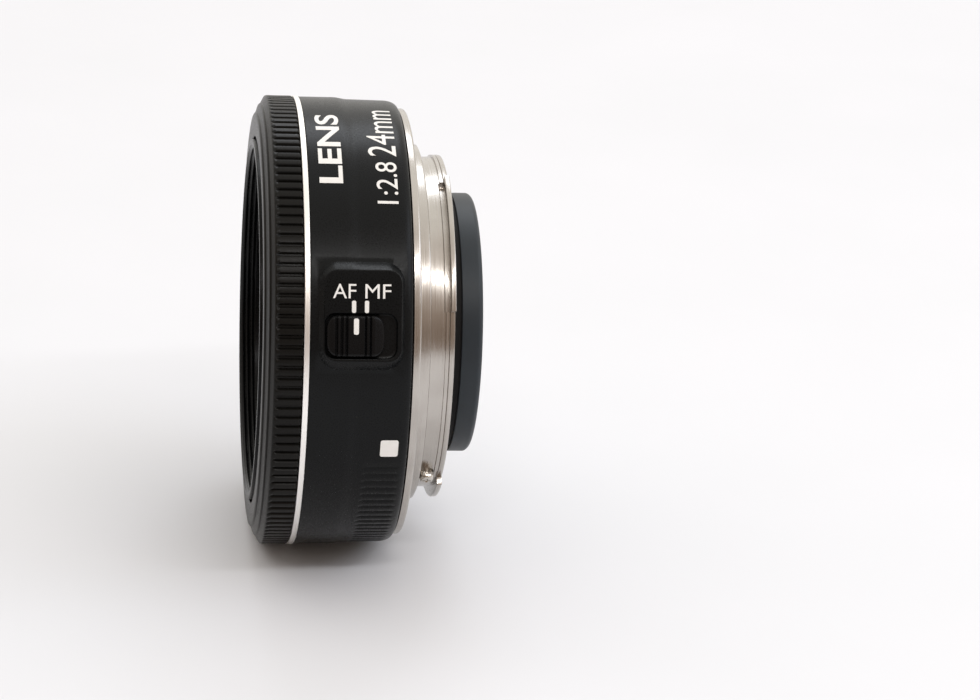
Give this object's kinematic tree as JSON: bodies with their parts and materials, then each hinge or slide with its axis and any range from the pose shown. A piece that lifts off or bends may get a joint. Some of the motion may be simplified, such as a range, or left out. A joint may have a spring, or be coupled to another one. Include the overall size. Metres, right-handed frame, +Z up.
{
  "type": "prime camera lens",
  "caption": "Slim prime camera lens with ribbed focus ring, silver trim ring, sliding focus-mode switch, bayonet mount, iris and cam-driven focusing group.",
  "frame": {"origin": "centre of the mounting flange's rear face, on the optical axis", "axes": "+Y along the optical axis from the subject towards the camera, +Z up, +X towards the side with the focus-mode switch"},
  "size_m": [0.0688, 0.0335, 0.0682],
  "materials": {
    "barrel_black": "satin moulded black polycarbonate",
    "ring_black": "satin moulded black polycarbonate, ribbed",
    "trim_silver": "turned and clear anodised",
    "mount_steel": "turned stainless steel",
    "screw_steel": "bright plated steel",
    "flat_black": "flat black, light absorbing",
    "rubber": "matt dark grey rubber",
    "contact_gold": "gold plated",
    "glass": "coated optical glass",
    "blade_black": "black coated spring steel",
    "brass": "machined brass",
    "motor_steel": "drawn steel",
    "inner_plastic": "grey glass-filled polycarbonate",
    "scale_metal": "satin strip",
    "board_green": "lacquered circuit board"
  },
  "bodies": {
    "root": {"bayonet_mount": "mount_steel", "contact_block": "flat_black", "contact_pin_1": "contact_gold", "contact_pin_2": "contact_gold", "contact_pin_3": "contact_gold", "contact_pin_4": "contact_gold", "contact_pin_5": "contact_gold", "contact_pin_6": "contact_gold", "contact_pin_7": "contact_gold", "contact_pin_8": "contact_gold", "focus_motor": "motor_steel", "guide_barrel": "inner_plastic", "main_barrel": "barrel_black", "main_circuit_board": "board_green", "motor_bracket": "motor_steel", "mount_screw_1": "screw_steel", "mount_screw_2": "screw_steel", "mount_screw_3": "screw_steel", "mount_screw_4": "screw_steel", "rear_baffle": "flat_black", "rear_barrel": "flat_black", "rear_rubber_ring": "rubber", "stop_screw": "screw_steel", "switch_board": "board_green", "trim_ring": "trim_silver"},
    "focus_ring_body": {"focus_ring": "ring_black", "focus_scale_ring": "scale_metal"},
    "switch_slider": {"switch_knob": "barrel_black", "switch_wiper": "brass"},
    "focus_group": {"focus_barrel": "barrel_black", "cam_follower_1": "brass", "cam_follower_2": "brass", "cam_follower_3": "brass", "name_ring": "flat_black", "front_baffle": "flat_black", "front_cell": "flat_black", "front_retaining_ring": "flat_black", "lens_1": "glass", "lens_2": "glass", "lens_3": "glass", "lens_4": "glass", "lens_5": "glass", "lens_6": "glass", "rear_cell": "flat_black", "rear_retaining_ring": "flat_black", "aperture_base": "flat_black", "aperture_cover": "flat_black", "aperture_motor": "motor_steel"},
    "cam": {"cam_ring": "inner_plastic"},
    "idler": {"idler_gear": "brass"},
    "motor_rotor": {"motor_pinion": "brass"},
    "iris_ring": {"aperture_drive_ring": "flat_black"},
    "iris_pinion": {"aperture_pinion": "brass"},
    "blade_1": {"aperture_blade_1": "blade_black"},
    "blade_2": {"aperture_blade_2": "blade_black"},
    "blade_3": {"aperture_blade_3": "blade_black"},
    "blade_4": {"aperture_blade_4": "blade_black"},
    "blade_5": {"aperture_blade_5": "blade_black"},
    "blade_6": {"aperture_blade_6": "blade_black"},
    "blade_7": {"aperture_blade_7": "blade_black"}
  },
  "joints": [
    {"name": "focus_ring_turn", "type": "hinge", "parent": "root", "child": "focus_ring_body", "pos_m": [0, -0.019, 0], "axis": [0, -1, 0], "continuous": true},
    {"name": "switch_slide", "type": "slide", "parent": "root", "child": "switch_slider", "axis": [0, 1, 0], "range_m": [0, 0.0018]},
    {"name": "cam_turn", "type": "hinge", "parent": "root", "child": "cam", "pos_m": [0, -0.011, 0], "axis": [0, -1, 0], "range_deg": [0, 70]},
    {"name": "focus_slide", "type": "slide", "parent": "root", "child": "focus_group", "axis": [0, -1, 0], "range_m": [0, 0.00651]},
    {"name": "idler_turn", "type": "hinge", "parent": "root", "child": "idler", "pos_m": [-0.02114, -0.0036, -0.0077], "axis": [0, -1, 0], "range_deg": [0, 385.5]},
    {"name": "motor_turn", "type": "hinge", "parent": "root", "child": "motor_rotor", "pos_m": [-0.01784, -0.0036, -0.01387], "axis": [0, -1, 0], "range_deg": [-963, 0]},
    {"name": "iris_ring_turn", "type": "hinge", "parent": "focus_group", "child": "iris_ring", "pos_m": [0, -0.0101, 0], "axis": [0, -1, 0], "range_deg": [0, 6.41]},
    {"name": "iris_pinion_turn", "type": "hinge", "parent": "focus_group", "child": "iris_pinion", "pos_m": [0, -0.0101, 0.016], "axis": [0, -1, 0], "range_deg": [-57.8, 0]},
    {"name": "blade_1_turn", "type": "hinge", "parent": "focus_group", "child": "blade_1", "pos_m": [0.00846, -0.0111, 0.00308], "axis": [0, -1, 0], "range_deg": [0, 26.05]},
    {"name": "blade_2_turn", "type": "hinge", "parent": "focus_group", "child": "blade_2", "pos_m": [0.00287, -0.0111, 0.00853], "axis": [0, -1, 0], "range_deg": [0, 26.05]},
    {"name": "blade_3_turn", "type": "hinge", "parent": "focus_group", "child": "blade_3", "pos_m": [-0.00488, -0.0111, 0.00756], "axis": [0, -1, 0], "range_deg": [0, 26.05]},
    {"name": "blade_4_turn", "type": "hinge", "parent": "focus_group", "child": "blade_4", "pos_m": [-0.00896, -0.0111, 0.0009], "axis": [0, -1, 0], "range_deg": [0, 26.05]},
    {"name": "blade_5_turn", "type": "hinge", "parent": "focus_group", "child": "blade_5", "pos_m": [-0.00628, -0.0111, -0.00644], "axis": [0, -1, 0], "range_deg": [0, 26.05]},
    {"name": "blade_6_turn", "type": "hinge", "parent": "focus_group", "child": "blade_6", "pos_m": [0.00112, -0.0111, -0.00893], "axis": [0, -1, 0], "range_deg": [0, 26.05]},
    {"name": "blade_7_turn", "type": "hinge", "parent": "focus_group", "child": "blade_7", "pos_m": [0.00768, -0.0111, -0.00469], "axis": [0, -1, 0], "range_deg": [0, 26.05]}
  ],
  "couplings": [
    {"joint": "focus_slide", "follows": "cam_turn", "m_per_rad": 0.0053203},
    {"joint": "idler_turn", "follows": "cam_turn", "ratio": 5.5},
    {"joint": "motor_turn", "follows": "cam_turn", "ratio": -13.75},
    {"joint": "iris_pinion_turn", "follows": "iris_ring_turn", "ratio": -9},
    {"joint": "blade_1_turn", "follows": "iris_ring_turn", "ratio": 4.056},
    {"joint": "blade_2_turn", "follows": "iris_ring_turn", "ratio": 4.056},
    {"joint": "blade_3_turn", "follows": "iris_ring_turn", "ratio": 4.056},
    {"joint": "blade_4_turn", "follows": "iris_ring_turn", "ratio": 4.056},
    {"joint": "blade_5_turn", "follows": "iris_ring_turn", "ratio": 4.056},
    {"joint": "blade_6_turn", "follows": "iris_ring_turn", "ratio": 4.056},
    {"joint": "blade_7_turn", "follows": "iris_ring_turn", "ratio": 4.056}
  ]
}
